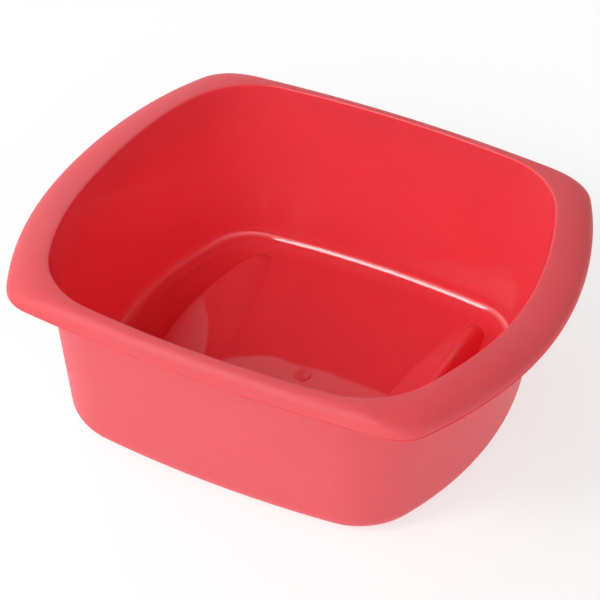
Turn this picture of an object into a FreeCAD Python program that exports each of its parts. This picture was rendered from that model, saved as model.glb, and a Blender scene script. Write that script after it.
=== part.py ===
import FreeCAD, Part
import os
from math import atan2, cos, pi, radians, sin, sqrt, tan

Vector = FreeCAD.Vector
UP = Vector(0, 0, 1)

# A washing up bowl is one moulding. It stands on its base with its long way along X.
# Lengths are in millimetres, angles in degrees, and the origin is the middle of the base.

# Overall sizes
bowl_height = 139.0
rim_length = 390.0
rim_width = 327.0

# The moulded wall is equally thick all over and leans out from base to rim
wall = 2.2
wall_lean = 6.2

# Outline of the base, before its bottom edge is rounded
base_length = 309.0
base_width = 277.0
base_end_radius = 256.0
base_side_radius = 822.0
base_corner_radius = 53.0
base_edge_radius = 18.0

# Outline of the rim's outer edge
rim_end_radius = 300.0
rim_side_radius = 1320.0
rim_corner_radius = 30.5

# Section of the rim: it rolls down from the crest and ends in a short upright lip
rim_roll = 12.5
rim_lip = 2.5
crest_radius = 1.4
under_rim_radius = 2.5

# The rim dips in the middle of both ends for the hands, and its crest more than its outer edge
crest_dip = 5.5
edge_dip = 3.3
grip_half_width = 110.0

# Finger hollow near each end: the floor rises in a ramp that faces the middle of the bowl,
# steepest at its foot, and rolls over into a leaning back
ramp_foot = 65.5
ramp_foot_radius = 364.0
ramp_slope = 45.0
ramp_radius = 110.0
hollow_edge_radius = 7.0

# Plan of the hollow at the underside of the base and at the level where its ramp would lie flat
mouth_back = 111.0
mouth_back_radius = 670.0
mouth_nose_radius = 16.0
mouth_overrun = 10.0
peak_back = 98.0
peak_back_radius = 220.0
peak_nose_radius = 6.0

# Gate mark in the middle of the floor
gate_diameter = 13.0
gate_step = 0.8

# Steps along each of the eight arcs of an outline
steps_per_arc = 4

# How far a cutting shape passes the face that it opens
overcut = 10.0


class Arc:
    def __init__(self, centre, radius, start, end):
        self.centre = centre
        self.radius = radius
        self.start = start
        self.end = end

    def angle(self, share):
        return self.start + (self.end - self.start) * share

    def point(self, share, z=0.0):
        angle = self.angle(share)
        return Vector(self.centre.x + self.radius * cos(angle), self.centre.y + self.radius * sin(angle), z)

    def heading(self, share):
        angle = self.angle(share)
        return Vector(-sin(angle), cos(angle), 0) * self.radius * (self.end - self.start)

    def grown(self, amount):
        return Arc(self.centre, self.radius + amount, self.start, self.end)


# Centre of the small circle that touches two larger ones from inside, to the left of their line
def nested_centre(first, first_radius, second, second_radius, radius):
    line = second - first
    reach = first_radius - radius
    along = (reach ** 2 - (second_radius - radius) ** 2 + line.Length ** 2) / (2 * line.Length)
    aside = sqrt(reach ** 2 - along ** 2)
    ahead = line / line.Length
    return first + ahead * along + UP.cross(ahead) * aside


def angle_from(centre, point):
    return atan2(point.y - centre.y, point.x - centre.x)


# Rectangle with bowed ends, bowed sides and round corners, as eight arcs that meet smoothly
def bowed_outline(length, width, end_radius, side_radius, corner_radius):
    end = Vector(length / 2 - end_radius, 0, 0)
    side = Vector(0, width / 2 - side_radius, 0)
    corner = nested_centre(end, end_radius, side, side_radius, corner_radius)
    far_corner = Vector(-corner.x, corner.y, 0)
    end_angle = angle_from(end, corner)
    side_angle = angle_from(side, corner)
    half = [
        Arc(end, end_radius, -end_angle, end_angle),
        Arc(corner, corner_radius, end_angle, side_angle),
        Arc(side, side_radius, side_angle, pi - side_angle),
        Arc(far_corner, corner_radius, pi - side_angle, pi - end_angle),
    ]
    return half + [Arc(arc.centre * -1, arc.radius, arc.start + pi, arc.end + pi) for arc in half]


def part_way(first, second, share):
    return first + (second - first) * share


# Where the ramp of a finger hollow would lie flat, on the middle line of the bowl
foot_slope = radians(ramp_slope)
ramp_peak = Vector(ramp_foot + ramp_radius * sin(foot_slope), 0, wall + ramp_radius * (1 - cos(foot_slope)))


# Plan of a finger hollow at a level: bowed back, bowed front and two round noses, all smaller higher up
def hollow_outline(z):
    share = z / ramp_peak.z
    back_radius = part_way(mouth_back_radius, peak_back_radius, share)
    front_radius = part_way(ramp_foot_radius + mouth_overrun, ramp_foot_radius, share)
    nose_radius = part_way(mouth_nose_radius, peak_nose_radius, share)
    back = Vector(part_way(mouth_back, peak_back, share) - back_radius, 0, 0)
    front = Vector(ramp_foot + ramp_foot_radius, 0, 0)
    nose = nested_centre(back, back_radius, front, front_radius, nose_radius)
    far_nose = Vector(nose.x, -nose.y, 0)
    back_angle = angle_from(back, nose)
    front_angle = angle_from(front, nose)
    return [
        Arc(back, back_radius, -back_angle, back_angle),
        Arc(nose, nose_radius, back_angle, front_angle),
        Arc(front, front_radius, front_angle, 2 * pi - front_angle),
        Arc(far_nose, nose_radius, 2 * pi - front_angle, 2 * pi - back_angle),
    ]


def grown(outline, amount):
    return [arc.grown(amount) for arc in outline]


def outline_wire(outline, z):
    edges = []
    for arc in outline:
        edges.append(Part.Arc(arc.point(0, z), arc.point(0.5, z), arc.point(1, z)).toShape())
    return Part.Wire(edges)


base = bowed_outline(base_length, base_width, base_end_radius, base_side_radius, base_corner_radius)
rim = bowed_outline(rim_length, rim_width, rim_end_radius, rim_side_radius, rim_corner_radius)
wall_slope = tan(radians(wall_lean))
wall_across = wall / cos(radians(wall_lean))
roll_foot = bowl_height - rim_roll
lip_foot = roll_foot - rim_lip
shares = [step / steps_per_arc for step in range(steps_per_arc + 1)]


# Outlines at a level: the outside of the wall, the inside, and the rim's outer and inner faces
def outer_wall(z):
    return grown(base, z * wall_slope)


def inner_wall(z):
    return grown(base, z * wall_slope - wall_across)


def rim_outside(z):
    return rim


def rim_inside(z):
    return grown(rim, -wall)


def dip_share(y):
    return cos(pi / 2 * min(abs(y) / grip_half_width, 1)) ** 2


# Ring of curves that follow an outline's arcs at a level, set in from it, lower at the two grips
def ring(outline_at, z, dip=0.0, inset=0.0):
    curves = []
    for number, top_arc in enumerate(outer_wall(bowl_height)):
        points = []
        for share in shares:
            level = z - dip * dip_share(top_arc.point(share).y)
            arc = outline_at(level)[number].grown(-inset)
            points.append(arc.point(share, level))
        curve = Part.BSplineCurve()
        curve.interpolate(
            Points=points,
            Parameters=shares,
            InitialTangent=arc.heading(0),
            FinalTangent=arc.heading(1),
            Scale=False,
        )
        curves.append(curve)
    return curves


def ring_face(curves):
    return Part.Face(Part.Wire([curve.toShape() for curve in curves]))


# Band between two rings, straight across or rounded in the corner that a third ring marks
def band(low, high, corner=None, turn=0.0):
    rings = [low, corner, high] if corner else [low, high]
    weights = [1.0, cos(turn / 2), 1.0] if corner else [1.0, 1.0]
    faces = []
    for curves in zip(*rings):
        around = curves[0]
        skin = Part.BSplineSurface()
        skin.buildFromPolesMultsKnots(
            poles=list(zip(*[curve.getPoles() for curve in curves])),
            umults=around.getMultiplicities(),
            vmults=[len(rings), len(rings)],
            uknots=around.getKnots(),
            vknots=[0.0, 1.0],
            uperiodic=False,
            vperiodic=False,
            udegree=around.Degree,
            vdegree=len(rings) - 1,
            weights=[weights] * around.NbPoles,
        )
        faces.append(skin.toShape())
    return faces


# Solid that fills a finger hollow from below the base, set in from the floor's upper face by a thickness
def hollow_core(inset):
    back_lean = atan2(mouth_back - peak_back, ramp_peak.z)
    across = inset / cos(back_lean)
    plans = [outline_wire(grown(hollow_outline(z), -across), z) for z in (-overcut, ramp_peak.z)]
    sides = Part.makeLoft(plans, True, True)
    centre = ramp_peak - UP * ramp_radius
    radius = ramp_radius - inset
    start = centre - Vector(radius, 0, 0)
    middle = centre + Vector(-sin(pi / 4), 0, cos(pi / 4)) * radius
    level = centre + Vector(0, 0, radius)
    past_level = level + Vector(overcut, 0, 0)
    past_centre = centre + Vector(overcut, 0, 0)
    section = Part.Wire(
        [
            Part.Arc(start, middle, level).toShape(),
            Part.makeLine(level, past_level),
            Part.makeLine(past_level, past_centre),
            Part.makeLine(past_centre, start),
        ]
    )
    axis = Vector(ramp_foot + ramp_foot_radius, 0, 0)
    ramp = Part.Face(section).revolve(axis, UP, 360)
    ramp.rotate(axis, UP, 180)
    core = sides.common(ramp)
    ramp_face = max(core.Faces, key=lambda face: face.CenterOfMass.z)
    return core.makeFillet(hollow_edge_radius - inset, ramp_face.Edges)


def both_ends(solid):
    turned = solid.copy()
    turned.rotate(Vector(0, 0, 0), UP, 180)
    return [solid, turned]


# How far a rounded corner goes along the level and up the wall, for each millimetre of its radius
wall_turn = radians(90 - wall_lean)
along_level = tan(wall_turn / 2)
up_wall = along_level * cos(radians(wall_lean))

# Tub: rounded bottom edge and leaning wall, outside and inside
inner_edge_radius = base_edge_radius - wall
under_foot = ring(outer_wall, 0, inset=along_level * base_edge_radius)
under_corner = ring(outer_wall, 0)
outer_low = ring(outer_wall, up_wall * base_edge_radius)
floor_edge = ring(inner_wall, wall, inset=along_level * inner_edge_radius)
floor_corner = ring(inner_wall, wall)
inner_low = ring(inner_wall, wall + up_wall * inner_edge_radius)

# Rim: crest, roll and lip on top, and the same a wall's thickness below
under_crest = bowl_height - wall
crest_inside = ring(inner_wall, bowl_height - up_wall * crest_radius, crest_dip)
crest_corner = ring(inner_wall, bowl_height, crest_dip)
crest_outside = ring(inner_wall, bowl_height, crest_dip, inset=-along_level * crest_radius)
roll_corner = ring(rim_outside, bowl_height, crest_dip)
roll_end = ring(rim_outside, roll_foot, edge_dip)
lip_outside = ring(rim_outside, lip_foot, edge_dip)
lip_inside = ring(rim_inside, lip_foot, edge_dip)
under_roll_end = ring(rim_inside, roll_foot, edge_dip)
under_roll_corner = ring(rim_inside, under_crest, crest_dip)
under_outside = ring(outer_wall, under_crest, crest_dip, inset=-along_level * under_rim_radius)
under_rim_corner = ring(outer_wall, under_crest, crest_dip)
under_inside = ring(outer_wall, under_crest - up_wall * under_rim_radius, crest_dip)

# Skin of the bowl, from the underside of the base up and over the rim to the floor inside
skin = [ring_face(under_foot)]
skin += band(under_foot, outer_low, under_corner, wall_turn)
skin += band(outer_low, under_inside)
skin += band(under_inside, under_outside, under_rim_corner, wall_turn)
skin += band(under_outside, under_roll_end, under_roll_corner, pi / 2)
skin += band(under_roll_end, lip_inside)
skin += band(lip_inside, lip_outside)
skin += band(lip_outside, roll_end)
skin += band(roll_end, crest_outside, roll_corner, pi / 2)
skin += band(crest_outside, crest_inside, crest_corner, wall_turn)
skin += band(crest_inside, inner_low)
skin += band(inner_low, floor_edge, floor_corner, wall_turn)
skin += [ring_face(floor_edge)]
shell = Part.makeShell(skin)
shell.sewShape()
bowl = Part.makeSolid(shell)

# Finger hollows and gate mark: each stands up from the floor and is hollow below
gate_pad = Part.makeCylinder(gate_diameter / 2, wall / 2 + gate_step, Vector(0, 0, wall / 2))
gate_recess = Part.makeCylinder(gate_diameter / 2, gate_step)
mid_floor = Vector(-base_length / 2, -base_width / 2, wall / 2)
above_floor = Part.makeBox(base_length, base_width, bowl_height, mid_floor)
bowl = bowl.fuse(both_ends(hollow_core(0).common(above_floor)) + [gate_pad])
bowl = bowl.cut(both_ends(hollow_core(wall)) + [gate_recess])

os.makedirs("parts", exist_ok=True)
bowl.Solids[0].exportStep("parts/bowl.step")
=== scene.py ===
import bpy
from math import atan2, cos, hypot, pi, radians, sin, sqrt, tan
from mathutils import Matrix, Vector


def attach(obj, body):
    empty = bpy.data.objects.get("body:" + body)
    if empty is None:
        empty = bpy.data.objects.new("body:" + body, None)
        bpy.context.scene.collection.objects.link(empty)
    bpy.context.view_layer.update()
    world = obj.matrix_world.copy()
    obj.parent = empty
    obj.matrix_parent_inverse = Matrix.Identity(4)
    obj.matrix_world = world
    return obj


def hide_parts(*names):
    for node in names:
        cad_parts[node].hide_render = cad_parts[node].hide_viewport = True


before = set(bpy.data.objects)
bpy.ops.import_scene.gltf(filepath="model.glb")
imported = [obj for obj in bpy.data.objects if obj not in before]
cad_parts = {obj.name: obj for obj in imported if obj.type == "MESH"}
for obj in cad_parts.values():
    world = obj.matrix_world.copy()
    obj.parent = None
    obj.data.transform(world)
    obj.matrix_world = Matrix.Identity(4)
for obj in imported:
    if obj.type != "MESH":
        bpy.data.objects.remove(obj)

scene = bpy.context.scene
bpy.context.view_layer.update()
mm = 0.001
seamWeld, patchWeld = 0.01 * mm, 0.02 * mm          # points nearer than this are joined
print("frame loaded", sorted(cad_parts))


def toLinear(hexColour):
    shares = [int(hexColour[i:i + 2], 16) / 255 for i in (1, 3, 5)]
    return [c / 12.92 if c <= 0.04045 else ((c + 0.055) / 1.055) ** 2.4 for c in shares] + [1.0]


# inputs are sockets to link or plain values, by place or by name; sockets that share a name go by place:
# 4 and 5 are a Mix's vectors, 6 and 7 its colours, 2 and 3 a Compare's whole numbers
def addNode(tree, kind, inputs=(), **settings):
    node = tree.nodes.new(kind)
    for name, value in settings.items():
        setattr(node, name, value)
    for key, value in inputs.items() if isinstance(inputs, dict) else enumerate(inputs):
        if isinstance(value, bpy.types.NodeSocket):
            tree.links.new(value, node.inputs[key])
        elif value is not None:
            node.inputs[key].default_value = value
    return node.outputs


def newTree(name, sockets):  # a Geometry Nodes tree with named inputs
    tree = bpy.data.node_groups.new(name, "GeometryNodeTree")
    for label, kind in sockets.items():
        tree.interface.new_socket(label, in_out="INPUT", socket_type="NodeSocket" + kind)
    tree.interface.new_socket("Mesh", in_out="OUTPUT", socket_type="NodeSocketGeometry")
    return tree, tree.nodes.new("NodeGroupInput").outputs


def guideMesh(name, points, **vectors):  # loose points that a tree reads by number, with vectors stored on them
    mesh = bpy.data.meshes.new(name)
    mesh.from_pydata(points, [], [])
    for label, values in vectors.items():
        layer = mesh.attributes.new(label, "FLOAT_VECTOR", "POINT")
        for item, value in zip(layer.data, values):
            item.vector = value
    guide = bpy.data.objects.new(name, mesh)
    scene.collection.objects.link(guide)
    return guide


# the bowl: one moulding, all lengths in millimetres as in the part's source
bowl = {
    "height": 139.0, "wall": 2.2, "lean": 6.2,
    "base": (309.0, 277.0, 256.0, 822.0, 53.0),     # length, width, end, side and corner radius
    "rim": (390.0, 327.0, 300.0, 1320.0, 30.5),
    "baseEdge": 18.0, "roll": 12.5, "lip": 2.5, "crestRound": 1.4, "underRound": 2.5, "lipRound": 0.8,
    "crestDip": 5.5, "edgeDip": 3.3, "gripHalf": 110.0,
    "crease": (1.7, 1.6, 1.0),                      # groove over the lip's bead: height above its foot, width, depth
    "stations": (40, 20, 44),                       # points along an end, a corner and a side
    "rows": {                                       # rows of points along each part of the section
        "baseEdge": 20, "wall": 10, "underRound": 8, "underRoll": 20, "lip": 5, "crease": 8, "roll": 24,
        "crestRound": 8, "floorEdge": 24},
    "flatRing": 1.2,                                # flat ring next to a rounded edge, so the floor shades flat
    "sharp": 24.0,                                  # edges that turn by more degrees stay crisp
}
hollow = {
    "foot": 65.5, "footRadius": 364.0, "slope": 45.0, "rampRadius": 110.0,
    "mouth": (111.0, 670.0, 16.0, 10.0),            # back, its radius, nose radius, overrun of the ramp's foot
    "peak": (98.0, 220.0, 6.0, 0.0), "below": 10.0,
    "topSoft": (9.0, 33.0), "underSoft": (7.0, 22.0),  # rounding of the edge at its foot and at its crest
    "stations": (64, 16), "rows": 40,               # along each long side, round each nose, and across
    "crowding": 1.7,                                # above 1, the rows crowd where the side is steep
}
gate = {
    "diameter": 13.0, "step": 0.8, "dimple": 0.35,
    "round": 0.16,                                  # share of the radius that the soft edge takes
    "stations": 64, "rows": 18, "crowding": 1.6,
}


def nestedCentre(first, firstRadius, second, secondRadius, radius):  # circle that touches two larger ones inside
    lineX, lineY = second[0] - first[0], second[1] - first[1]
    line = hypot(lineX, lineY)
    reach = firstRadius - radius
    along = (reach ** 2 - (secondRadius - radius) ** 2 + line ** 2) / (2 * line)
    aside = sqrt(reach ** 2 - along ** 2)
    return (first[0] + (lineX * along - lineY * aside) / line, first[1] + (lineY * along + lineX * aside) / line)


def bowedOutline(length, width, endRadius, sideRadius, cornerRadius):  # eight arcs: centre, radius, start, end
    end, side = (length / 2 - endRadius, 0.0), (0.0, width / 2 - sideRadius)
    corner = nestedCentre(end, endRadius, side, sideRadius, cornerRadius)
    endTurn = atan2(corner[1] - end[1], corner[0] - end[0])
    sideTurn = atan2(corner[1] - side[1], corner[0] - side[0])
    half = [
        (end, endRadius, -endTurn, endTurn), (corner, cornerRadius, endTurn, sideTurn),
        (side, sideRadius, sideTurn, pi - sideTurn),
        ((-corner[0], corner[1]), cornerRadius, pi - sideTurn, pi - endTurn),
    ]
    return half + [((-c[0], -c[1]), r, start + pi, stop + pi) for c, r, start, stop in half]


def onArc(arc, share, grown=0.0):
    centre, radius, start, stop = arc
    turn = start + (stop - start) * share
    return Vector((centre[0] + (radius + grown) * cos(turn), centre[1] + (radius + grown) * sin(turn), 0)), turn


slope = tan(radians(bowl["lean"]))                  # how far the wall leans out, for each millimetre of height
wallTurn = radians(90 - bowl["lean"])               # from the floor up into the wall
across = bowl["wall"] / cos(radians(bowl["lean"]))  # the wall, measured level
setback = tan(wallTurn / 2)                         # of a rounded corner, for each millimetre of its radius


def railGuide():  # one point for each station round the bowl; its height is the share of the grips' dip
    points, outward, rimPoint, rimOutward = [], [], [], []
    counts = [bowl["stations"][i] for i in (0, 1, 2, 1)] * 2
    for baseArc, rimArc, count in zip(bowedOutline(*bowl["base"]), bowedOutline(*bowl["rim"]), counts):
        for step in range(count):
            share = step / count
            point, turn = onArc(baseArc, share)
            edge, edgeTurn = onArc(rimArc, share)
            crest, _ = onArc(baseArc, share, bowl["height"] * slope)
            dip = cos(pi / 2 * min(abs(crest.y) / bowl["gripHalf"], 1)) ** 2
            points.append((point.x * mm, point.y * mm, dip))
            outward.append((cos(turn), sin(turn), 0))
            rimPoint.append(edge * mm)
            rimOutward.append((cos(edgeTurn), sin(edgeTurn), 0))
    return guideMesh("rail", points, outward=outward, rimPoint=rimPoint, rimOutward=rimOutward)


def sectionGuide():  # one point for each row, from under the base up the outside, over the rim and down to the floor
    rows = []                   # each: set-out, anchor level, level; rim share, inset, anchor dip; two dips, polish, which also sets the painted shade
    counts = bowl["rows"]
    height, wall, foot = bowl["height"], bowl["wall"], bowl["height"] - bowl["roll"]

    def wallRow(offset, level, dip=0.0, polish=0.0):
        rows.append(((offset - level * slope, level, level), (0, 0, dip), (dip, 0, polish)))

    def rollRow(offset, top, inset, turn):
        level = top * cos(turn) + foot * (1 - cos(turn))
        rows.append(((offset - top * slope, top, level), (sin(turn), inset, 1), (cos(turn), 1 - cos(turn), 0)))

    def lipRow(inset, level):
        rows.append(((0, 0, level), (1, inset, 0), (0, 1, 0)))

    def spread(count, ends=True):
        return [i / count for i in range(0 if ends else 1, count + 1 if ends else count)]

    radius = bowl["baseEdge"]
    start = -setback * radius
    wallRow(start - bowl["flatRing"], 0)
    for share in spread(counts["baseEdge"]):
        wallRow(start + radius * sin(wallTurn * share), radius - radius * cos(wallTurn * share))
    low = radius - radius * cos(wallTurn)
    top, radius = height - wall, bowl["underRound"]
    high = top - radius + radius * cos(wallTurn)
    for share in spread(counts["wall"], False):
        wallRow((low + (high - low) * share) * slope, low + (high - low) * share, share)
    start = top * slope + setback * radius
    for share in reversed(spread(counts["underRound"])):
        wallRow(start - radius * sin(wallTurn * share), top - radius + radius * cos(wallTurn * share), 1)
    for share in spread(counts["underRoll"])[1:]:
        rollRow(start, top, wall, pi / 2 * share)
    radius, lipFoot = bowl["lipRound"], foot - bowl["lip"]
    lipRow(wall, lipFoot + radius)
    for share in spread(counts["lip"])[1:]:
        lipRow(wall - radius + radius * cos(pi / 2 * share), lipFoot + radius - radius * sin(pi / 2 * share))
    for share in spread(counts["lip"]):
        lipRow(radius - radius * sin(pi / 2 * share), lipFoot + radius - radius * cos(pi / 2 * share))
    middle, wide, deep = bowl["crease"]
    for share in spread(counts["crease"]):
        lipRow(deep * sin(pi * share), lipFoot + middle + wide * (share - 0.5))
    radius = bowl["crestRound"]
    start = height * slope - across + setback * radius
    for share in reversed(spread(counts["roll"])[1:]):
        rollRow(start, height, 0, pi / 2 * share)
    for share in spread(counts["crestRound"]):
        wallRow(start - radius * sin(wallTurn * share), height - radius + radius * cos(wallTurn * share), 1, share)
    high = height - radius + radius * cos(wallTurn)
    radius = bowl["baseEdge"] - wall
    low = wall + radius - radius * cos(wallTurn)
    for share in reversed(spread(counts["wall"], False)):
        wallRow((low + (high - low) * share) * slope - across, low + (high - low) * share, share, 1)
    start = wall * slope - across - setback * radius
    for share in reversed(spread(counts["floorEdge"])):
        wallRow(start + radius * sin(wallTurn * share), wall + radius - radius * cos(wallTurn * share), 0, 1)
    wallRow(start - bowl["flatRing"], wall, 0, 1)
    roll = [(mix, inset * mm, dip) for _, (mix, inset, dip), _ in rows]
    return guideMesh("section", [Vector(row[0]) * mm for row in rows], roll=roll, sink=[row[2] for row in rows])


# finger hollows: a ramp turned about an upright axis, cut off by leaning sides with round noses
rampAxis = hollow["foot"] + hollow["footRadius"]
peakX = hollow["foot"] + hollow["rampRadius"] * sin(radians(hollow["slope"]))
peakLevel = bowl["wall"] + hollow["rampRadius"] * (1 - cos(radians(hollow["slope"])))
rampLevel = peakLevel - hollow["rampRadius"]
axis = Vector((rampAxis, 0, 0))


def hollowArcs(level):  # the back and one nose of a hollow's plan
    back, backRadius, nose, overrun = [
        low + (high - low) * level / peakLevel for low, high in zip(hollow["mouth"], hollow["peak"])]
    centre = (back - backRadius, 0)
    noseCentre = nestedCentre(centre, backRadius, (rampAxis, 0), hollow["footRadius"] + overrun, nose)
    backTurn = atan2(noseCentre[1], noseCentre[0] - centre[0])
    frontTurn = atan2(noseCentre[1], noseCentre[0] - rampAxis)
    return (centre, backRadius, -backTurn, backTurn), (noseCentre, nose, backTurn, frontTurn)


def footprintGuide(name, inset, level):  # where a hollow leaves the floor, the spine it closes on and its sides' rise
    inward = inset / cos(atan2(hollow["mouth"][0] - hollow["peak"][0], peakLevel))
    lowArcs, highArcs = hollowArcs(-hollow["below"]), hollowArcs(peakLevel)
    share = (level + hollow["below"]) / (peakLevel + hollow["below"])
    foot = rampAxis - peakX + sqrt((hollow["rampRadius"] - inset) ** 2 - (level - rampLevel) ** 2)

    def onSide(arc, along):                         # a point at this level and how the side rises inwards from it
        low, lowTurn = onArc(lowArcs[arc], along, -inward)
        high, highTurn = onArc(highArcs[arc], along, -inward)
        lean = (high - low) / (peakLevel + hollow["below"])
        turn = lowTurn + (highTurn - lowTurn) * share
        normal = Vector((-cos(turn), -sin(turn), 0))
        return low + (high - low) * share, normal / lean.dot(normal)

    start, stop = 0.0, 1.0                          # share of the nose where the ramp's foot meets it
    for _ in range(30):                             # halved until it is exact
        half = (start + stop) / 2
        start, stop = (half, stop) if (onSide(1, half)[0] - axis).length < foot else (start, half)
    corner, frontRise = onSide(1, start)[0], peakLevel / hollow["mouth"][3]
    lowNose, highNose = (Vector((*arcs[1][0], 0)) for arcs in (lowArcs, highArcs))
    nose = lowNose + (highNose - lowNose) * share
    noseRadius = (corner - nose).length
    cornerTurn = atan2(corner.y, corner.x - rampAxis)
    noseReach = (nose - axis).length
    along, around = hollow["stations"]
    points, spine, rise = [], [], []

    def station(point, gradient, onSpine, lift=0.0):    # onSpine runs from -1 to 1, lift is the side's height here
        y = nose.y * onSpine
        points.append(point * mm)
        spine.append(((rampAxis - sqrt(noseReach ** 2 - y ** 2)) * mm, y * mm, lift * mm))
        rise.append(gradient)

    mirror = Vector((1, -1, 1))
    for step in range(along):                       # the back, from one nose to the other
        station(*onSide(0, step / along), 2 * step / along - 1)
    for step in range(around):
        station(*onSide(1, start * step / around), 1)
    for step in range(along):                       # the foot of the ramp
        turn = cornerTurn + 2 * (pi - cornerTurn) * step / along
        point = axis + Vector((cos(turn), sin(turn), 0)) * foot
        nearNose = Vector((nose.x, nose.y if point.y > 0 else -nose.y, 0))
        pastNose = abs(point.y) < nose.y
        toward = (axis if pastNose else nearNose) - point
        inside = noseRadius + noseReach - foot if pastNose else noseRadius - toward.length
        station(point, toward.normalized() * frontRise, 1 - 2 * step / along, inside * frontRise)
    for step in range(around):
        point, gradient = onSide(1, start * (1 - step / around))
        station(point * mirror, gradient * mirror, -1)
    return guideMesh(name, points, spine=spine, rise=rise)


def sweepTree():  # rows of the section carried round the stations of the rail
    tree, sizes = newTree("bowlSweep", {
        "Rail": "Object", "Section": "Object", "Wall Slope": "Float", "Crest Dip": "Float", "Edge Dip": "Float"})
    rail = addNode(tree, "GeometryNodeObjectInfo", [sizes["Rail"]])["Geometry"]
    section = addNode(tree, "GeometryNodeObjectInfo", [sizes["Section"]])["Geometry"]
    stations = addNode(tree, "GeometryNodeAttributeDomainSize", [rail])["Point Count"]
    rows = addNode(tree, "GeometryNodeAttributeDomainSize", [section])["Point Count"]
    columns = addNode(tree, "FunctionNodeIntegerMath", [stations, 1], operation="ADD")[0]
    grid = addNode(tree, "GeometryNodeMeshGrid", {"Vertices X": columns, "Vertices Y": rows})["Mesh"]
    index = addNode(tree, "GeometryNodeInputIndex")[0]
    row = addNode(tree, "FunctionNodeIntegerMath", [index, rows], operation="MODULO")[0]
    column = addNode(tree, "FunctionNodeIntegerMath", [index, rows], operation="DIVIDE_FLOOR")[0]
    station = addNode(tree, "FunctionNodeIntegerMath", [column, stations], operation="MODULO")[0]
    picked = {}
    for label in ("base", "outward", "rimPoint", "rimOutward", "place", "roll", "sink"):
        onRail = label in ("base", "outward", "rimPoint", "rimOutward")
        if label in ("base", "place"):
            value = addNode(tree, "GeometryNodeInputPosition")[0]
        else:
            value = addNode(tree, "GeometryNodeInputNamedAttribute", [label], data_type="FLOAT_VECTOR")[0]
        picked[label] = addNode(
            tree, "GeometryNodeSampleIndex",
            {"Geometry": rail if onRail else section, "Value": value, "Index": station if onRail else row},
            data_type="FLOAT_VECTOR")[0]
    base = addNode(tree, "ShaderNodeSeparateXYZ", [picked["base"]])
    place = addNode(tree, "ShaderNodeSeparateXYZ", [picked["place"]])
    roll = addNode(tree, "ShaderNodeSeparateXYZ", [picked["roll"]])
    sink = addNode(tree, "ShaderNodeSeparateXYZ", [picked["sink"]])
    crestDip = addNode(tree, "ShaderNodeMath", [base["Z"], sizes["Crest Dip"]], operation="MULTIPLY")[0]
    edgeDip = addNode(tree, "ShaderNodeMath", [base["Z"], sizes["Edge Dip"]], operation="MULTIPLY")[0]
    anchorDip = addNode(tree, "ShaderNodeMath", [roll["Z"], crestDip], operation="MULTIPLY")[0]
    anchor = addNode(tree, "ShaderNodeMath", [place["Y"], anchorDip], operation="SUBTRACT")[0]
    setOut = addNode(tree, "ShaderNodeMath", [anchor, sizes["Wall Slope"], place["X"]], operation="MULTIPLY_ADD")[0]
    flat = addNode(tree, "ShaderNodeVectorMath", [picked["base"], (1, 1, 0)], operation="MULTIPLY")[0]
    onWall = addNode(
        tree, "ShaderNodeVectorMath", [picked["outward"], setOut, flat], operation="MULTIPLY_ADD")[0]
    inset = addNode(tree, "ShaderNodeMath", [roll["Y"], -1], operation="MULTIPLY")[0]
    onRim = addNode(
        tree, "ShaderNodeVectorMath", [picked["rimOutward"], inset, picked["rimPoint"]], operation="MULTIPLY_ADD")[0]
    plan = addNode(
        tree, "ShaderNodeMix", {"Factor": roll["X"], 4: onWall, 5: onRim}, data_type="VECTOR")[1]
    plan = addNode(tree, "ShaderNodeSeparateXYZ", [plan])
    crestSink = addNode(tree, "ShaderNodeMath", [sink["X"], crestDip], operation="MULTIPLY")[0]
    dip = addNode(tree, "ShaderNodeMath", [sink["Y"], edgeDip, crestSink], operation="MULTIPLY_ADD")[0]
    level = addNode(tree, "ShaderNodeMath", [place["Z"], dip], operation="SUBTRACT")[0]
    position = addNode(tree, "ShaderNodeCombineXYZ", [plan["X"], plan["Y"], level])[0]
    skin = addNode(tree, "GeometryNodeSetPosition", {"Geometry": grid, "Position": position})[0]
    # the polish mask is 1 on the glossy inside and 0 outside; the material also uses it to paint the inside deeper red
    # as painted shade
    skin = addNode(
        tree, "GeometryNodeStoreNamedAttribute", {"Geometry": skin, "Name": "polish", "Value": sink["Z"]},
        data_type="FLOAT", domain="POINT")[0]
    skin = addNode(tree, "GeometryNodeMergeByDistance", {"Geometry": skin, "Distance": seamWeld})[0]
    addNode(tree, "NodeGroupOutput", [skin])
    return tree


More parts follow.
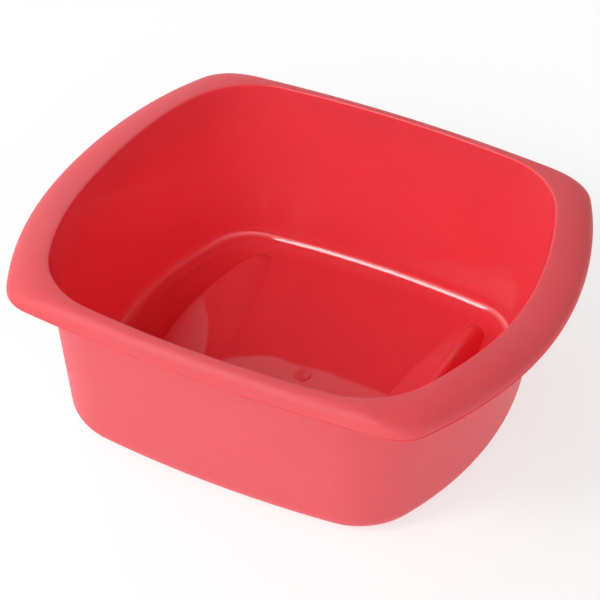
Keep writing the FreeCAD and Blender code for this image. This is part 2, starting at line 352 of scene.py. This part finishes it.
def hollowTree():  # rings from the footprint to the spine, lifted to the lower of the ramp and the leaning side
    tree, sizes = newTree("fingerHollow", {
        "Footprint": "Object", "Rows": "Int", "Ramp Axis": "Float", "Ramp Top": "Float", "Ramp Radius": "Float",
        "Ramp Level": "Float", "Ramp Inset": "Float", "Floor Level": "Float", "Full Height": "Float",
        "Foot Softness": "Float", "Crest Softness": "Float"})
    outline = addNode(tree, "GeometryNodeObjectInfo", [sizes["Footprint"]])["Geometry"]
    stations = addNode(tree, "GeometryNodeAttributeDomainSize", [outline])["Point Count"]
    columns = addNode(tree, "FunctionNodeIntegerMath", [stations, 1], operation="ADD")[0]
    grid = addNode(tree, "GeometryNodeMeshGrid", {"Vertices X": columns, "Vertices Y": sizes["Rows"]})["Mesh"]
    index = addNode(tree, "GeometryNodeInputIndex")[0]
    row = addNode(tree, "FunctionNodeIntegerMath", [index, sizes["Rows"]], operation="MODULO")[0]
    column = addNode(tree, "FunctionNodeIntegerMath", [index, sizes["Rows"]], operation="DIVIDE_FLOOR")[0]
    station = addNode(tree, "FunctionNodeIntegerMath", [column, stations], operation="MODULO")[0]
    lastRow = addNode(tree, "FunctionNodeIntegerMath", [sizes["Rows"], 1], operation="SUBTRACT")[0]
    share = addNode(tree, "ShaderNodeMath", [row, lastRow], operation="DIVIDE")[0]
    crowded = addNode(tree, "ShaderNodeMath", [share, hollow["crowding"]], operation="POWER")[0]
    place = addNode(tree, "GeometryNodeInputPosition")[0]
    spine = addNode(tree, "GeometryNodeInputNamedAttribute", ["spine"], data_type="FLOAT_VECTOR")[0]
    edge = addNode(
        tree, "GeometryNodeSampleIndex", {"Geometry": outline, "Value": place, "Index": station},
        data_type="FLOAT_VECTOR")[0]
    middle = addNode(
        tree, "GeometryNodeSampleIndex", {"Geometry": outline, "Value": spine, "Index": station},
        data_type="FLOAT_VECTOR")[0]
    spineFoot = addNode(tree, "ShaderNodeVectorMath", [middle, (1, 1, 0)], operation="MULTIPLY")[0]
    plan = addNode(tree, "ShaderNodeMix", {"Factor": crowded, 4: edge, 5: spineFoot}, data_type="VECTOR")[1]
    # the ramp: an arc in section, level behind its top
    axis = addNode(tree, "ShaderNodeCombineXYZ", [sizes["Ramp Axis"]])[0]
    fromAxis = addNode(tree, "ShaderNodeVectorMath", [plan, axis], operation="DISTANCE")["Value"]
    reach = addNode(tree, "ShaderNodeMath", [fromAxis, sizes["Ramp Top"]], operation="SUBTRACT")[0]
    reach = addNode(tree, "ShaderNodeMath", [reach, 0], operation="MAXIMUM")[0]
    radius = addNode(tree, "ShaderNodeMath", [sizes["Ramp Radius"], sizes["Ramp Inset"]], operation="SUBTRACT")[0]
    radiusSquare = addNode(tree, "ShaderNodeMath", [radius, radius], operation="MULTIPLY")[0]
    reachSquare = addNode(tree, "ShaderNodeMath", [reach, reach], operation="MULTIPLY")[0]
    riseSquare = addNode(tree, "ShaderNodeMath", [radiusSquare, reachSquare], operation="SUBTRACT")[0]
    rise = addNode(tree, "ShaderNodeMath", [riseSquare], operation="SQRT")[0]
    ramp = addNode(tree, "ShaderNodeMath", [rise, sizes["Ramp Level"]], operation="ADD")[0]
    # the side: a plane at each station, which rises inwards
    gradient = addNode(tree, "GeometryNodeInputNamedAttribute", ["rise"], data_type="FLOAT_VECTOR")[0]
    rise = addNode(
        tree, "GeometryNodeSampleIndex", {"Geometry": outline, "Value": gradient, "Index": station},
        data_type="FLOAT_VECTOR")[0]
    inward = addNode(tree, "ShaderNodeVectorMath", [plan, edge], operation="SUBTRACT")[0]
    side = addNode(tree, "ShaderNodeVectorMath", [inward, rise], operation="DOT_PRODUCT")["Value"]
    lift = addNode(tree, "ShaderNodeSeparateXYZ", [middle])["Z"]
    side = addNode(tree, "ShaderNodeMath", [side, lift], operation="ADD")[0]
    side = addNode(tree, "ShaderNodeMath", [side, sizes["Floor Level"]], operation="ADD")[0]
    # the edge between them is soft, most of all at the crest
    rampHeight = addNode(tree, "ShaderNodeMath", [ramp, sizes["Floor Level"]], operation="SUBTRACT")[0]
    softness = addNode(tree, "ShaderNodeMapRange", {
        "Value": rampHeight, "From Max": sizes["Full Height"], "To Min": sizes["Foot Softness"],
        "To Max": sizes["Crest Softness"]})[0]
    level = addNode(tree, "ShaderNodeMath", [ramp, side, softness], operation="SMOOTH_MIN")[0]
    level = addNode(tree, "ShaderNodeMath", [level, sizes["Floor Level"]], operation="MAXIMUM")[0]
    onSpine = addNode(tree, "FunctionNodeCompare", {2: row, 3: lastRow}, data_type="INT", operation="EQUAL")[0]
    level = addNode(
        tree, "GeometryNodeSwitch", {"Switch": onSpine, "False": level, "True": ramp}, input_type="FLOAT")[0]
    onFloor = addNode(tree, "FunctionNodeCompare", {2: row, 3: 0}, data_type="INT", operation="EQUAL")[0]
    level = addNode(
        tree, "GeometryNodeSwitch", {"Switch": onFloor, "False": level, "True": sizes["Floor Level"]},
        input_type="FLOAT")[0]
    flat = addNode(tree, "ShaderNodeSeparateXYZ", [plan])
    position = addNode(tree, "ShaderNodeCombineXYZ", [flat["X"], flat["Y"], level])[0]
    patch = addNode(tree, "GeometryNodeSetPosition", {"Geometry": grid, "Position": position})[0]
    patch = addNode(tree, "GeometryNodeMergeByDistance", {"Geometry": patch, "Distance": patchWeld})[0]
    turned = addNode(tree, "GeometryNodeTransform", {"Geometry": patch, "Rotation": (0, 0, pi)})[0]
    both = addNode(tree, "GeometryNodeJoinGeometry", [patch])[0]
    tree.links.new(turned, both.node.inputs[0])
    addNode(tree, "NodeGroupOutput", [both])
    return tree


def gateTree():  # round pad with a soft edge and a shallow dimple
    tree, sizes = newTree("gateMark", {
        "Radius": "Float", "Step": "Float", "Edge Share": "Float", "Dimple": "Float", "Stations": "Int",
        "Rows": "Int", "Floor Level": "Float"})
    columns = addNode(tree, "FunctionNodeIntegerMath", [sizes["Stations"], 1], operation="ADD")[0]
    grid = addNode(tree, "GeometryNodeMeshGrid", {"Vertices X": columns, "Vertices Y": sizes["Rows"]})["Mesh"]
    index = addNode(tree, "GeometryNodeInputIndex")[0]
    row = addNode(tree, "FunctionNodeIntegerMath", [index, sizes["Rows"]], operation="MODULO")[0]
    column = addNode(tree, "FunctionNodeIntegerMath", [index, sizes["Rows"]], operation="DIVIDE_FLOOR")[0]
    lastRow = addNode(tree, "FunctionNodeIntegerMath", [sizes["Rows"], 1], operation="SUBTRACT")[0]
    share = addNode(tree, "ShaderNodeMath", [row, lastRow], operation="DIVIDE")[0]
    turn = addNode(tree, "ShaderNodeMath", [column, sizes["Stations"]], operation="DIVIDE")[0]
    turn = addNode(tree, "ShaderNodeMath", [turn, 2 * pi], operation="MULTIPLY")[0]
    crowded = addNode(tree, "ShaderNodeMath", [share, gate["crowding"]], operation="POWER")[0]
    inward = addNode(tree, "ShaderNodeMath", [1, crowded], operation="SUBTRACT")[0]
    radius = addNode(tree, "ShaderNodeMath", [inward, sizes["Radius"]], operation="MULTIPLY")[0]
    onEdge = addNode(tree, "ShaderNodeMath", [crowded, sizes["Edge Share"]], operation="DIVIDE", use_clamp=True)[0]
    offEdge = addNode(tree, "ShaderNodeMath", [1, onEdge], operation="SUBTRACT")[0]
    square = addNode(tree, "ShaderNodeMath", [offEdge, offEdge], operation="MULTIPLY")[0]
    quarter = addNode(tree, "ShaderNodeMath", [1, square], operation="SUBTRACT")[0]
    quarter = addNode(tree, "ShaderNodeMath", [quarter], operation="SQRT")[0]
    rim = addNode(tree, "ShaderNodeMath", [quarter, sizes["Step"]], operation="MULTIPLY")[0]
    bowlShare = addNode(tree, "ShaderNodeMapRange", {
        "Value": crowded, "From Min": sizes["Edge Share"], "From Max": 1.0}, interpolation_type="SMOOTHSTEP")[0]
    sunk = addNode(tree, "ShaderNodeMath", [bowlShare, sizes["Dimple"]], operation="MULTIPLY")[0]
    height = addNode(tree, "ShaderNodeMath", [rim, sunk], operation="SUBTRACT")[0]
    level = addNode(tree, "ShaderNodeMath", [height, sizes["Floor Level"]], operation="ADD")[0]
    x = addNode(tree, "ShaderNodeMath", [turn], operation="COSINE")[0]
    x = addNode(tree, "ShaderNodeMath", [x, radius], operation="MULTIPLY")[0]
    y = addNode(tree, "ShaderNodeMath", [turn], operation="SINE")[0]
    y = addNode(tree, "ShaderNodeMath", [y, radius], operation="MULTIPLY")[0]
    position = addNode(tree, "ShaderNodeCombineXYZ", [x, y, level])[0]
    patch = addNode(tree, "GeometryNodeSetPosition", {"Geometry": grid, "Position": position})[0]
    patch = addNode(tree, "GeometryNodeMergeByDistance", {"Geometry": patch, "Distance": patchWeld})[0]
    addNode(tree, "NodeGroupOutput", [patch])
    return tree


def bowlTree(sweep, rise, mark):  # joins the swept skin, hollows and gate mark, and fills the flats between
    tree, sizes = newTree("washingUpBowl", {
        "Rail": "Object", "Section": "Object", "Top Footprint": "Object", "Under Footprint": "Object",
        "Wall": "Float", "Wall Slope": "Float", "Crest Dip": "Float", "Edge Dip": "Float",
        "Gate Radius": "Float", "Gate Step": "Float", "Sharp Angle": "Float", "Material": "Material"})
    skin = addNode(tree, "GeometryNodeGroup", node_tree=sweep)
    for label in ("Rail", "Section", "Wall Slope", "Crest Dip", "Edge Dip"):
        tree.links.new(sizes[label], skin[0].node.inputs[label])
    shells = [skin[0]]
    for under in (False, True):
        floorLevel = 0.0 if under else sizes["Wall"]
        soft = hollow["underSoft" if under else "topSoft"]
        lifted = addNode(tree, "GeometryNodeGroup", {
            "Footprint": sizes["Under Footprint" if under else "Top Footprint"], "Rows": hollow["rows"],
            "Ramp Axis": rampAxis * mm, "Ramp Top": (rampAxis - peakX) * mm,
            "Ramp Radius": hollow["rampRadius"] * mm, "Ramp Level": rampLevel * mm,
            "Ramp Inset": sizes["Wall"] if under else 0.0, "Floor Level": floorLevel, "Full Height": peakLevel * mm,
            "Foot Softness": soft[0] * mm, "Crest Softness": soft[1] * mm}, node_tree=rise)[0]
        pad = addNode(tree, "GeometryNodeGroup", {
            "Radius": sizes["Gate Radius"], "Step": sizes["Gate Step"], "Edge Share": gate["round"],
            "Dimple": gate["dimple"] * mm, "Stations": gate["stations"], "Rows": gate["rows"],
            "Floor Level": floorLevel}, node_tree=mark)[0]
        patches = addNode(tree, "GeometryNodeJoinGeometry", [lifted])[0]
        tree.links.new(pad, patches.node.inputs[0])
        if under:
            patches = addNode(tree, "GeometryNodeFlipFaces", [patches])[0]
        shells.append(addNode(
            tree, "GeometryNodeStoreNamedAttribute",
            {"Geometry": patches, "Name": "polish", "Value": 0.0 if under else 1.0},
            data_type="FLOAT", domain="POINT")[0])
    shell = addNode(tree, "GeometryNodeJoinGeometry", [shells[0]])[0]
    for part in shells[1:]:
        tree.links.new(part, shell.node.inputs[0])
    faces = addNode(tree, "GeometryNodeInputMeshEdgeNeighbors")[0]
    openEdge = addNode(tree, "FunctionNodeCompare", {2: faces, 3: 1}, data_type="INT", operation="EQUAL")[0]
    place = addNode(tree, "GeometryNodeInputPosition")[0]
    height = addNode(tree, "ShaderNodeSeparateXYZ", [place])["Z"]
    half = addNode(tree, "ShaderNodeMath", [sizes["Wall"], 0.5], operation="MULTIPLY")[0]
    upper = addNode(tree, "FunctionNodeCompare", [height, half], data_type="FLOAT", operation="GREATER_THAN")[0]
    lower = addNode(tree, "FunctionNodeBooleanMath", [upper], operation="NOT")[0]
    whole = addNode(tree, "GeometryNodeJoinGeometry", [shell])[0]
    for chosen, under in ((upper, False), (lower, True)):
        edges = addNode(tree, "FunctionNodeBooleanMath", [openEdge, chosen], operation="AND")[0]
        loops = addNode(tree, "GeometryNodeMeshToCurve", [shell, edges])[0]
        flat = addNode(tree, "GeometryNodeFillCurve", [loops], mode="TRIANGLES")[0]
        if under:
            flat = addNode(tree, "GeometryNodeFlipFaces", [flat])[0]
        else:
            lift = addNode(tree, "ShaderNodeCombineXYZ", [None, None, sizes["Wall"]])[0]
            flat = addNode(tree, "GeometryNodeSetPosition", {"Geometry": flat, "Offset": lift})[0]
        flat = addNode(
            tree, "GeometryNodeStoreNamedAttribute",
            {"Geometry": flat, "Name": "polish", "Value": 0.0 if under else 1.0},
            data_type="FLOAT", domain="POINT")[0]
        tree.links.new(flat, whole.node.inputs[0])
    whole = addNode(tree, "GeometryNodeMergeByDistance", {"Geometry": whole, "Distance": seamWeld})[0]
    whole = addNode(tree, "GeometryNodeSetShadeSmooth", [whole], domain="FACE")[0]
    angle = addNode(tree, "GeometryNodeInputMeshEdgeAngle")[0]
    crisp = addNode(
        tree, "FunctionNodeCompare", [angle, sizes["Sharp Angle"]], data_type="FLOAT", operation="GREATER_THAN")[0]
    whole = addNode(
        tree, "GeometryNodeSetShadeSmooth", {0: whole, "Selection": crisp, "Shade Smooth": False}, domain="EDGE")[0]
    whole = addNode(tree, "GeometryNodeRealizeInstances", [whole])[0]
    whole = addNode(tree, "GeometryNodeSetMaterial", {"Geometry": whole, "Material": sizes["Material"]})[0]
    addNode(tree, "NodeGroupOutput", [whole])
    return tree


# polypropylene as moulded: glassy inside, with reflections that waver a little, and fine satin outside; the deep red
# inside is painted shade and the paler red outside is painted sheen, on one and the same red plastic
plastic = {
    "inside": "#e0434e", "outside": "#d25058", "ior": 1.49, "insideRough": 0.05, "outsideRough": 0.55,
    "satinGrain": 0.5, "satinDepth": 0.02,          # real satin is finer than this, drawn coarser so that it shows
    "waver": 34.0, "waverDepth": 0.3,               # width and depth of the waves in the polished side
    "flow": 60.0, "flowShare": 0.05, "patchShare": 0.1,  # clouds of dye: width, change of tone and of roughness
    "seeps": (6.5, 0.4, 0.5),                       # how far red, green and blue light seeps through, mm
}


def glossPolypropylene():
    material = bpy.data.materials.new("gloss_moulded_polypropylene")
    material.use_nodes = True
    tree = material.node_tree
    shader = tree.nodes["Principled BSDF"]
    place = addNode(tree, "ShaderNodeTexCoord")["Object"]
    polish = addNode(tree, "ShaderNodeAttribute", attribute_name="polish")["Fac"]
    # painted shade and sheen: the mask gives the inside a deeper red as painted shade and the outside a paler red as
    # painted sheen
    body = addNode(tree, "ShaderNodeMix", {
        "Factor": polish, 6: toLinear(plastic["outside"]), 7: toLinear(plastic["inside"])}, data_type="RGBA")[2]
    # dye that mixed unevenly in the melt: large faint clouds
    flow = addNode(tree, "ShaderNodeTexNoise", {
        "Vector": place, "Scale": 1 / (plastic["flow"] * mm), "Detail": 3.0, "Roughness": 0.55, "Distortion": 0.6})[0]
    tone = addNode(tree, "ShaderNodeMapRange", {
        "Value": flow, "To Min": 1 - plastic["flowShare"], "To Max": 1 + plastic["flowShare"]})[0]
    body = addNode(tree, "ShaderNodeHueSaturation", {"Value": tone, "Color": body})[0]
    tree.links.new(body, shader.inputs["Base Color"])
    shader.inputs["IOR"].default_value = plastic["ior"]
    shader.inputs["Subsurface Weight"].default_value = 1.0
    shader.inputs["Subsurface Radius"].default_value = plastic["seeps"]
    shader.inputs["Subsurface Scale"].default_value = mm
    # satin grain outside, faint sinks and waves in the polished inside
    grain = addNode(tree, "ShaderNodeTexNoise", {
        "Vector": place, "Scale": 1 / (plastic["satinGrain"] * mm), "Detail": 2.0, "Roughness": 0.6})[0]
    waves = addNode(tree, "ShaderNodeTexNoise", {
        "Vector": place, "Scale": 1 / (plastic["waver"] * mm), "Detail": 1.0, "Roughness": 0.4})[0]
    grainHeight = addNode(tree, "ShaderNodeMath", [grain, plastic["satinDepth"] * mm], operation="MULTIPLY")[0]
    satin = addNode(tree, "ShaderNodeMath", [1, polish], operation="SUBTRACT")[0]
    grainHeight = addNode(tree, "ShaderNodeMath", [grainHeight, satin], operation="MULTIPLY")[0]
    height = addNode(
        tree, "ShaderNodeMath", [waves, plastic["waverDepth"] * mm, grainHeight], operation="MULTIPLY_ADD")[0]
    bump = addNode(tree, "ShaderNodeBump", {"Height": height, "Distance": 1.0, "Strength": 1.0})[0]
    tree.links.new(bump, shader.inputs["Normal"])
    patchy = addNode(tree, "ShaderNodeMapRange", {
        "Value": flow, "To Min": 1 - plastic["patchShare"], "To Max": 1 + plastic["patchShare"]})[0]
    rough = addNode(tree, "ShaderNodeMapRange", {
        "Value": polish, "To Min": plastic["outsideRough"], "To Max": plastic["insideRough"]})[0]
    rough = addNode(tree, "ShaderNodeMath", [rough, patchy], operation="MULTIPLY")[0]
    tree.links.new(rough, shader.inputs["Roughness"])
    return material


def makeBowl(material):
    guides = {
        "Rail": railGuide(), "Section": sectionGuide(),
        "Top Footprint": footprintGuide("topFootprint", 0.0, bowl["wall"]),
        "Under Footprint": footprintGuide("underFootprint", bowl["wall"], 0.0)}
    tree = bowlTree(sweepTree(), hollowTree(), gateTree())
    values = dict(guides, **{
        "Wall": bowl["wall"] * mm, "Wall Slope": slope, "Crest Dip": bowl["crestDip"] * mm,
        "Edge Dip": bowl["edgeDip"] * mm, "Gate Radius": gate["diameter"] / 2 * mm,
        "Gate Step": gate["step"] * mm, "Sharp Angle": radians(bowl["sharp"]), "Material": material})
    carrier = bpy.data.objects.new("carrier", bpy.data.meshes.new("carrier"))
    scene.collection.objects.link(carrier)
    form = carrier.modifiers.new("form", "NODES")
    form.node_group = tree
    for item in tree.interface.items_tree:
        if item.in_out == "INPUT":
            form[item.identifier] = values[item.name]
    depsgraph = bpy.context.evaluated_depsgraph_get()
    mesh = bpy.data.meshes.new_from_object(carrier.evaluated_get(depsgraph))
    carrier.modifiers.remove(form)
    for spent in [carrier] + list(guides.values()):
        bpy.data.objects.remove(spent)
    mesh.name = "washingUpBowl"
    piece = bpy.data.objects.new("washingUpBowl", mesh)
    scene.collection.objects.link(piece)
    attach(piece, "root")
    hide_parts("bowl")
    return piece


piece = makeBowl(glossPolypropylene())
print("bowl made", len(piece.data.vertices), "points", len(piece.data.polygons), "faces")

# studio: a lit white floor, a pale backdrop low down, a bright band above it, and a soft box in front on the left
studio = {
    "floor": "#a8a8a8", "floorRough": 0.9, "floorGlow": 0.64, "floorHalf": 3.0,
    "backdrop": 1.0, "horizon": 0.1, "band": 2.08, "zenith": 0.1,   # how bright each zone is, from the floor upwards
    "backdropEnd": (0.1, 0.14), "bandRise": (0.16, 0.5), "bandFall": (0.5, 0.8),    # sine of the height of each change
    "brightSide": (-0.68, -0.73, 0), "sideShare": 0.8,              # more of the light comes from this side
}
floorMesh = bpy.data.meshes.new("floor")
half = studio["floorHalf"]
floorMesh.from_pydata([(-half, -half, 0), (half, -half, 0), (half, half, 0), (-half, half, 0)], [], [(0, 1, 2, 3)])
floor = bpy.data.objects.new("floor", floorMesh)
scene.collection.objects.link(floor)
# opal acrylic lit from below: matt and white all over, so the bowl leaves only a faint shadow
lightTable = bpy.data.materials.new("matt_white_light_table")
lightTable.use_nodes = True
opal = lightTable.node_tree.nodes["Principled BSDF"].inputs
opal["Base Color"].default_value = toLinear(studio["floor"])
opal["Roughness"].default_value = studio["floorRough"]
opal["Emission Color"].default_value = (1, 1, 1, 1)
opal["Emission Strength"].default_value = studio["floorGlow"]
floorMesh.materials.append(lightTable)

world = bpy.data.worlds.new("studio")
scene.world = world
world.use_nodes = True
air = world.node_tree
direction = addNode(air, "ShaderNodeTexCoord")["Generated"]
brightSide = Vector(studio["brightSide"]).normalized()
facing = addNode(air, "ShaderNodeVectorMath", [direction, brightSide], operation="DOT_PRODUCT")["Value"]
side = addNode(air, "ShaderNodeMapRange", {
    "Value": facing, "From Min": -1, "To Min": 1 - studio["sideShare"], "To Max": 1 + studio["sideShare"]})[0]
climb = addNode(air, "ShaderNodeSeparateXYZ", [direction])["Z"]
low = addNode(air, "ShaderNodeMapRange", {
    "Value": climb, "From Min": studio["bandRise"][0], "From Max": studio["bandRise"][1],
    "To Min": studio["horizon"], "To Max": studio["band"]}, interpolation_type="SMOOTHSTEP")[0]
level = addNode(air, "ShaderNodeMapRange", {
    "Value": climb, "From Min": studio["bandFall"][0], "From Max": studio["bandFall"][1],
    "To Min": low, "To Max": studio["zenith"]}, interpolation_type="SMOOTHSTEP")[0]
level = addNode(air, "ShaderNodeMath", [side, level], operation="MULTIPLY")[0]
backdrop = addNode(air, "ShaderNodeMapRange", {
    "Value": climb, "From Min": studio["backdropEnd"][0], "From Max": studio["backdropEnd"][1],
    "To Min": studio["backdrop"], "To Max": 0.0})[0]
strength = addNode(air, "ShaderNodeMath", [level, backdrop], operation="MAXIMUM")[0]
air.nodes["Background"].inputs["Color"].default_value = (1, 1, 1, 1)
air.links.new(strength, air.nodes["Background"].inputs["Strength"])

softBoxes = {  # place, aim, width and height in metres, watts
    "key": ((-0.68, -1.28, 1.40), (0, 0, 0.05), 0.5, 0.5, 11.5),
}
for name, (place, aim, wide, high, watts) in softBoxes.items():
    lamp = bpy.data.lights.new(name, "AREA")
    lamp.shape = "RECTANGLE"
    lamp.size, lamp.size_y, lamp.energy = wide, high, watts
    holder = bpy.data.objects.new(name, lamp)
    holder.location = place
    holder.rotation_euler = (Vector(aim) - Vector(place)).to_track_quat("-Z", "Y").to_euler()
    scene.collection.objects.link(holder)
scene.view_settings.view_transform = "Standard"
print("studio lit")

# camera at the photograph's angle
picture = 600                                       # points across the frame
view = {
    "turn": 26.19, "tilt": 39.53, "roll": 1.34,     # degrees
    "distance": 1.85265, "aim": (0, 0, 0.08),       # metres
    "focal": 2580.5 / picture, "shift": (-4.34 / picture, -6.07 / picture),
}
turn, tilt, roll = radians(view["turn"]), radians(view["tilt"]), radians(view["roll"])
back = Vector((sin(turn) * cos(tilt), -cos(turn) * cos(tilt), sin(tilt)))
right = Vector((cos(turn), sin(turn), 0))
up = back.cross(right)
lens = bpy.data.cameras.new("camera")
lens.lens = view["focal"] * lens.sensor_width
lens.shift_x, lens.shift_y = view["shift"]
camera = bpy.data.objects.new("camera", lens)
stand = Matrix((right * cos(roll) + up * sin(roll), up * cos(roll) - right * sin(roll), back)).transposed().to_4x4()
stand.translation = Vector(view["aim"]) + back * view["distance"]
camera.matrix_world = stand
scene.collection.objects.link(camera)
scene.camera = camera
print("camera set")
